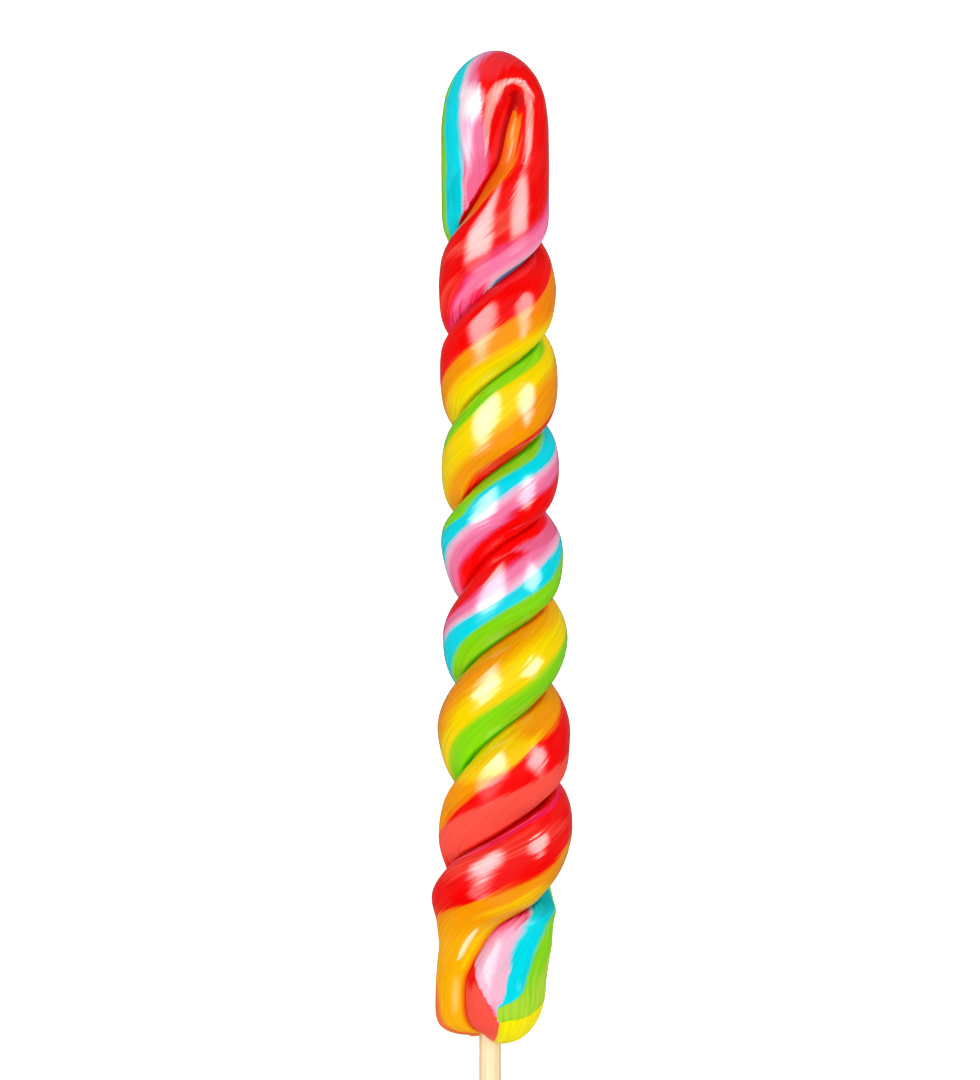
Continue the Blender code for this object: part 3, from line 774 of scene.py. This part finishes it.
def candy_material():
    mat = bpy.data.materials.new("striped_sugar_look")
    mat.use_nodes = True
    t = mat.node_tree
    shader = t.nodes["Principled BSDF"]
    link = t.links.new

    rope = node(t, "ShaderNodeUVMap", uv_map="rope")
    tone = node(t, "ShaderNodeUVMap", uv_map="tone")
    tone_xyz = node(t, "ShaderNodeSeparateXYZ")
    link(tone.outputs["UV"], tone_xyz.inputs[0])

    # streaks that follow the pull: fine across the rope, long along it
    def streaks(scale_girth, scale_along, detail, name):
        m = node(t, "ShaderNodeMapping")
        m.inputs["Scale"].default_value = (scale_girth, scale_along, 1.0)
        link(rope.outputs["UV"], m.inputs["Vector"])
        n = node(t, "ShaderNodeTexNoise", noise_dimensions='2D')
        n.inputs["Scale"].default_value = 1.0
        n.inputs["Detail"].default_value = detail
        n.inputs["Roughness"].default_value = 0.55
        link(m.outputs["Vector"], n.inputs["Vector"])
        return n.outputs["Fac"]

    hair = streaks(46.0, 8.0, 2.0, "hair")
    wander = streaks(2.2, 3.5, 2.0, "wander")
    fine = streaks(20.0, 6.0, 3.0, "fine")
    broad = streaks(10.0, 4.5, 2.0, "broad")

    def math_node(op, a, b=None, c=None, clamp=False):
        n = node(t, "ShaderNodeMath", operation=op, use_clamp=clamp)
        for k, v in enumerate((a, b, c)):
            if v is None:
                continue
            if isinstance(v, (int, float)):
                n.inputs[k].default_value = v
            else:
                link(v, n.inputs[k])
        return n.outputs[0]

    # the stripes' edges wander a little and fray along the streaks
    off = math_node('MULTIPLY_ADD', math_node('SUBTRACT', wander, 0.5), 0.016, tone_xyz.outputs["X"])
    off = math_node('MULTIPLY_ADD', math_node('SUBTRACT', fine, 0.5), 0.045, off)
    phase = math_node('FRACT', off)
    ramp = node(t, "ShaderNodeValToRGB")
    ramp.color_ramp.interpolation = 'LINEAR'
    stops = stripe_stops()
    elements = ramp.color_ramp.elements
    while len(elements) < len(stops):
        elements.new(0.5)
    for e, (pos, colour) in zip(elements, stops):
        e.position = pos
    for e, (pos, colour) in zip(elements, stops):
        e.color = lin(*colour)
    link(phase, ramp.inputs["Fac"])

    # strayed colours fade in along the streaks
    def stray(uv_map, under, fray):
        where = node(t, "ShaderNodeUVMap", uv_map=uv_map)
        parts = node(t, "ShaderNodeSeparateXYZ")
        link(where.outputs["UV"], parts.inputs[0])
        palette = node(t, "ShaderNodeValToRGB")
        palette.color_ramp.interpolation = 'CONSTANT'
        elements = palette.color_ramp.elements
        while len(elements) < len(PALETTE):
            elements.new(0.5)
        for k, e in enumerate(elements):
            e.position = k / len(PALETTE)
        for k, e in enumerate(elements):
            e.color = lin(*PALETTE[k])
        link(parts.outputs["X"], palette.inputs["Fac"])
        frayed = math_node('MULTIPLY_ADD', math_node('SUBTRACT', fine, 0.5), fray, parts.outputs["Y"])
        amount = math_node('MULTIPLY_ADD', math_node('SUBTRACT', frayed, 0.5), 1.0 + 1.3 * fray, 0.5,
                           clamp=True)
        amount = math_node('MULTIPLY', amount, math_node('MULTIPLY', parts.outputs["Y"], 3.0, clamp=True))
        mix = node(t, "ShaderNodeMix", data_type='RGBA')
        link(amount, mix.inputs["Factor"])
        link(under, mix.inputs["A"])
        link(palette.outputs["Color"], mix.inputs["B"])
        return mix.outputs["Result"]

    strayed = stray("tint", ramp.outputs["Color"], 0.9)
    strayed = stray("streak", strayed, 0.5)

    # painted shade: the colour darkens where the two legs press together, and the sugar is duller there
    crease = node(t, "ShaderNodeMapRange", interpolation_type='SMOOTHSTEP')
    crease.inputs["From Min"].default_value = 0.925
    crease.inputs["From Max"].default_value = 0.995
    link(tone_xyz.outputs["Y"], crease.inputs["Value"])
    open_skin = math_node('SUBTRACT', 1.0, crease.outputs["Result"])
    gloss = node(t, "ShaderNodeUVMap", uv_map="gloss")
    gloss_xyz = node(t, "ShaderNodeSeparateXYZ")
    link(gloss.outputs["UV"], gloss_xyz.inputs[0])
    # painted shade: how strongly the groove's colour is darkened
    pressed = math_node('MULTIPLY', crease.outputs["Result"], gloss_xyz.outputs["Y"])

    # milky patches drawn out along the rope
    milky = node(t, "ShaderNodeMapRange")
    milky.inputs["From Min"].default_value = 0.44
    milky.inputs["From Max"].default_value = 0.74
    milky.inputs["To Max"].default_value = 0.012
    link(streaks(3.2, 6.5, 3.0, "milky"), milky.inputs["Value"])
    hazed = node(t, "ShaderNodeMix", data_type='RGBA')
    link(milky.outputs["Result"], hazed.inputs["Factor"])
    link(strayed, hazed.inputs["A"])
    hazed.inputs["B"].default_value = (1.0, 0.9, 0.68, 1.0)

    # painted shade: the colour deepens towards the groove
    deep = node(t, "ShaderNodeGamma")
    link(hazed.outputs["Result"], deep.inputs["Color"])
    link(math_node('MULTIPLY_ADD', pressed, 0.9, 1.0), deep.inputs["Gamma"])

    # pulled sugar is silkier and lighter along some streaks, and a few hair
    # lines are darker
    value = math_node('MULTIPLY_ADD', fine, 0.24, 0.88)
    lines = node(t, "ShaderNodeMapRange")
    lines.inputs["From Min"].default_value = 0.58
    lines.inputs["From Max"].default_value = 0.74
    lines.inputs["To Min"].default_value = 1.0
    lines.inputs["To Max"].default_value = 0.84
    link(hair, lines.inputs["Value"])
    value = math_node('MULTIPLY', value, lines.outputs["Result"])
    # painted shade: darker towards the groove
    value = math_node('MULTIPLY', value, math_node('MULTIPLY_ADD', pressed, -0.35, 1.0))
    shade = node(t, "ShaderNodeMix", data_type='RGBA', blend_type='MULTIPLY')
    shade.inputs["Factor"].default_value = 1.0
    link(deep.outputs["Color"], shade.inputs["A"])
    combine = node(t, "ShaderNodeCombineColor")
    for k in range(3):
        link(value, combine.inputs[k])
    link(combine.outputs[0], shade.inputs["B"])
    link(shade.outputs["Result"], shader.inputs["Base Color"])

    bump = node(t, "ShaderNodeBump")
    bump.inputs["Strength"].default_value = 0.5
    bump.inputs["Distance"].default_value = 0.00018
    height = math_node('MULTIPLY_ADD', fine, 0.3, broad)
    link(height, bump.inputs["Height"])
    link(bump.outputs["Normal"], shader.inputs["Normal"])
    link(bump.outputs["Normal"], shader.inputs["Coat Normal"])

    rough = math_node('MULTIPLY_ADD', fine, 0.16, 0.18)
    rough = math_node('MULTIPLY_ADD', crease.outputs["Result"], 0.3, rough)
    link(rough, shader.inputs["Roughness"])
    # pressed and pinched places have lost some gloss
    link(math_node('MULTIPLY', open_skin, gloss_xyz.outputs["X"]), shader.inputs["Coat Weight"])
    shader.inputs["Metallic"].default_value = 0.0
    shader.inputs["IOR"].default_value = 1.5
    shader.inputs["Specular IOR Level"].default_value = 0.01
    shader.inputs["Subsurface Weight"].default_value = 0.06
    shader.inputs["Subsurface Radius"].default_value = (1.0, 0.6, 0.5)
    shader.inputs["Subsurface Scale"].default_value = 0.0008
    shader.inputs["Coat Roughness"].default_value = 0.1
    shader.inputs["Coat IOR"].default_value = 1.5
    return mat


def stick_material():
    mat = bpy.data.materials.new("birch_dowel_look")
    mat.use_nodes = True
    t = mat.node_tree
    shader = t.nodes["Principled BSDF"]
    link = t.links.new
    coords = node(t, "ShaderNodeTexCoord")
    m = node(t, "ShaderNodeMapping")
    m.inputs["Scale"].default_value = (1600.0, 22.0, 1600.0)
    link(coords.outputs["Object"], m.inputs["Vector"])
    n = node(t, "ShaderNodeTexNoise")
    n.inputs["Scale"].default_value = 1.0
    n.inputs["Detail"].default_value = 4.0
    link(m.outputs["Vector"], n.inputs["Vector"])
    ramp = node(t, "ShaderNodeValToRGB")
    ramp.color_ramp.elements[0].position = 0.3
    ramp.color_ramp.elements[0].color = lin(219, 189, 134)
    ramp.color_ramp.elements[1].position = 0.62
    ramp.color_ramp.elements[1].color = lin(243, 222, 175)
    link(n.outputs["Fac"], ramp.inputs["Fac"])
    link(ramp.outputs["Color"], shader.inputs["Base Color"])
    bump = node(t, "ShaderNodeBump")
    bump.inputs["Strength"].default_value = 0.3
    bump.inputs["Distance"].default_value = 0.00008
    link(n.outputs["Fac"], bump.inputs["Height"])
    link(bump.outputs["Normal"], shader.inputs["Normal"])
    shader.inputs["Roughness"].default_value = 0.55
    return mat


def build_stick(shift, length, end_y, axis_z):
    """Turned dowel with rounded end edges and a slight hand-sanded unevenness."""
    sides = 72
    edge = 0.45
    profile = [(0.0, 0.0)]
    for k in range(7):
        a = 0.5 * math.pi * k / 6
        profile.append((STICK_RADIUS - edge + edge * math.sin(a), edge - edge * math.cos(a)))
    for k in range(1, 60):
        profile.append((STICK_RADIUS, edge + (length - 2 * edge) * k / 60))
    for k in range(7):
        a = 0.5 * math.pi * k / 6
        profile.append((STICK_RADIUS - edge + edge * math.cos(a), length - edge + edge * math.sin(a)))
    profile.append((0.0, length))
    verts, faces = [], []
    rings = []
    for r, y in profile:
        if r == 0.0:
            rings.append([len(verts)])
            verts.append((STICK_OFFSET, end_y + y, axis_z))
            continue
        ids = []
        for s in range(sides):
            a = 2 * math.pi * s / sides
            rr = r - 0.018 * (0.5 + 0.5 * math.sin(3 * a + 0.05 * y)) - 0.012 * (0.5 + 0.5 * math.sin(11 * a + 0.3 * y))
            ids.append(len(verts))
            verts.append((STICK_OFFSET + rr * math.cos(a), end_y + y, axis_z + rr * math.sin(a)))
        rings.append(ids)
    for a, b in zip(rings, rings[1:]):
        for s in range(sides):
            n = (s + 1) % sides
            if len(a) == 1:
                faces.append((a[0], b[n], b[s]))
            elif len(b) == 1:
                faces.append((a[s], a[n], b[0]))
            else:
                faces.append((a[s], a[n], b[n], b[s]))
    mesh = bpy.data.meshes.new("stick_wood")
    mesh.from_pydata([(x * MM + shift[0], y * MM + shift[1], z * MM) for x, y, z in verts], [], faces)
    turn_out(mesh)
    mesh.shade_smooth()
    mesh.set_sharp_from_angle(angle=math.radians(50.0))
    return mesh


# ------------------------------------------------------------------- the piece
candy_low, candy_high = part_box("candy_twist")
stick_low, stick_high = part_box("stick")
stick_axis_x = 0.5 * (stick_low[0] + stick_high[0])
stick_axis_z = 0.5 * (stick_low[2] + stick_high[2])
SHIFT = (stick_axis_x - STICK_OFFSET * MM, candy_high[1] - 0.03 * MM, 0.0)

candy = bpy.data.objects.new("candy_stripes", build_candy(SHIFT))
bpy.context.scene.collection.objects.link(candy)
candy.data.materials.append(candy_material())
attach(candy, "root")
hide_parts("candy_twist")

length_mm = (stick_high[1] - stick_low[1]) / MM
stick = bpy.data.objects.new("stick_wood", build_stick(
    (SHIFT[0], 0.0), length_mm, stick_low[1] / MM, stick_axis_z / MM))
bpy.context.scene.collection.objects.link(stick)
stick.data.materials.append(stick_material())
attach(stick, "root")
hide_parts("stick")

# ------------------------------------------------------------------- the stage
bpy.ops.mesh.primitive_plane_add(size=6.0, location=(0.0, 0.0, -0.0002))
floor = bpy.context.active_object
floor.name = "floor"
floor_mat = bpy.data.materials.new("floor_paper")
floor_mat.use_nodes = True
fs = floor_mat.node_tree.nodes["Principled BSDF"]
fs.inputs["Base Color"].default_value = (0.86, 0.86, 0.86, 1.0)
fs.inputs["Roughness"].default_value = 0.9
fs.inputs["Specular IOR Level"].default_value = 0.1
fs.inputs["Emission Color"].default_value = (1.0, 1.0, 1.0, 1.0)
fs.inputs["Emission Strength"].default_value = 0.75
floor.data.materials.append(floor_mat)


def toward(across, up):
    """Unit vector at angles from straight up, in degrees: across to +X, up to +Y."""
    return Vector((math.tan(math.radians(across)), math.tan(math.radians(up)), 1.0)).normalized()


def softbox(name, upper, lower, width, radiance, side_fade, end_fade):
    """A diffused panel between two directions, fading towards its edges."""
    distance = 1.5
    high, low = toward(*upper) * distance, toward(*lower) * distance
    centre = 0.5 * (high + low)
    length = (high - low).length
    data = bpy.data.lights.new(name, 'AREA')
    data.shape = 'RECTANGLE'
    data.size, data.size_y = width, length
    data.energy = radiance * math.pi * width * length
    obj = bpy.data.objects.new(name, data)
    bpy.context.scene.collection.objects.link(obj)
    back = centre.normalized()
    long_side = (high - low)
    long_side = (long_side - back * long_side.dot(back)).normalized()
    obj.location = centre
    obj.rotation_euler = Matrix((long_side.cross(back), long_side, back)).transposed().to_euler()
    obj.visible_diffuse = False
    data.use_nodes = True
    lt = data.node_tree
    emission = lt.nodes["Emission"]
    where = node(lt, "ShaderNodeNewGeometry")
    axes = node(lt, "ShaderNodeSeparateXYZ")
    lt.links.new(where.outputs["Parametric"], axes.inputs[0])
    shares = []
    for axis, soft in (("X", side_fade), ("Y", end_fade)):
        off = node(lt, "ShaderNodeMath", operation='SUBTRACT')
        lt.links.new(axes.outputs[axis], off.inputs[0])
        off.inputs[1].default_value = 0.5
        far = node(lt, "ShaderNodeMath", operation='ABSOLUTE')
        lt.links.new(off.outputs[0], far.inputs[0])
        fade = node(lt, "ShaderNodeMapRange", interpolation_type='SMOOTHSTEP')
        fade.inputs["From Min"].default_value = 0.5
        fade.inputs["From Max"].default_value = 0.5 - soft
        lt.links.new(far.outputs[0], fade.inputs["Value"])
        shares.append(fade.outputs["Result"])
    both = node(lt, "ShaderNodeMath", operation='MULTIPLY')
    lt.links.new(shares[0], both.inputs[0])
    lt.links.new(shares[1], both.inputs[1])
    lt.links.new(both.outputs[0], emission.inputs["Strength"])
    return obj


def fill(name, location, size, energy):
    """A wide panel that lights the colours and leaves no glint."""
    data = bpy.data.lights.new(name, 'AREA')
    data.shape = 'SQUARE'
    data.size = size
    data.energy = energy
    obj = bpy.data.objects.new(name, data)
    bpy.context.scene.collection.objects.link(obj)
    obj.location = location
    obj.visible_glossy = False
    return obj


# two softboxes lean over the sweep on either side of the camera, and a pale
# wall throws a little light back from the lower left
softbox("softbox_left", (-17.0, 38.0), (-51.0, -4.0), 1.9, 15.5, 0.36, 0.28)
softbox("softbox_right", (60.0, 41.0), (44.0, -2.0), 1.5, 13.0, 0.36, 0.28)
softbox("wall_left", (-3.0, -10.0), (-55.0, -26.0), 0.65, 3.8, 0.45, 0.4)
fill("fill_above", (0.0, 0.0, 2.2), 3.0, 78.0)

# an even white surround, of which gloss shows only what lies under the sweep
world = bpy.data.worlds.new("studio")
bpy.context.scene.world = world
world.use_nodes = True
wt = world.node_tree
background = wt.nodes["Background"]
coords = node(wt, "ShaderNodeTexCoord")
split = node(wt, "ShaderNodeSeparateXYZ")
wt.links.new(coords.outputs["Generated"], split.inputs[0])
low_light = node(wt, "ShaderNodeMapRange")
low_light.inputs["From Min"].default_value = -0.56
low_light.inputs["From Max"].default_value = -0.82
low_light.inputs["To Min"].default_value = 0.0
low_light.inputs["To Max"].default_value = 2.2
wt.links.new(split.outputs["Z"], low_light.inputs["Value"])
rays = node(wt, "ShaderNodeLightPath")
choice = node(wt, "ShaderNodeMix", data_type='FLOAT')
choice.inputs["A"].default_value = 0.92
wt.links.new(rays.outputs["Is Glossy Ray"], choice.inputs["Factor"])
wt.links.new(low_light.outputs["Result"], choice.inputs["B"])
wt.links.new(choice.outputs["Result"], background.inputs["Strength"])
floor.visible_glossy = False
bpy.context.scene.view_settings.view_transform = 'Standard'

# ------------------------------------------------------------------ the camera
# The view is 980 by 1080 at 0.225 mm a pixel over the lollipop's axis.
DISTANCE = 2.0
camera_data = bpy.data.cameras.new("camera")
camera = bpy.data.objects.new("camera", camera_data)
bpy.context.scene.collection.objects.link(camera)
bpy.context.scene.camera = camera
view_height = 1080 * 0.225 * MM
plane = 0.0135
top_y = candy_high[1]
camera.location = (SHIFT[0] + (490 - 502) * 0.225 * MM, top_y - (540 - 49.5) * 0.225 * MM, DISTANCE + plane)
camera.rotation_euler = (0.0, 0.0, 0.0)
camera_data.sensor_fit = 'VERTICAL'
camera_data.sensor_height = 24.0
camera_data.lens = 24.0 * DISTANCE / view_height
camera_data.clip_start = 0.1
camera_data.clip_end = 20.0

bpy.context.view_layer.update()
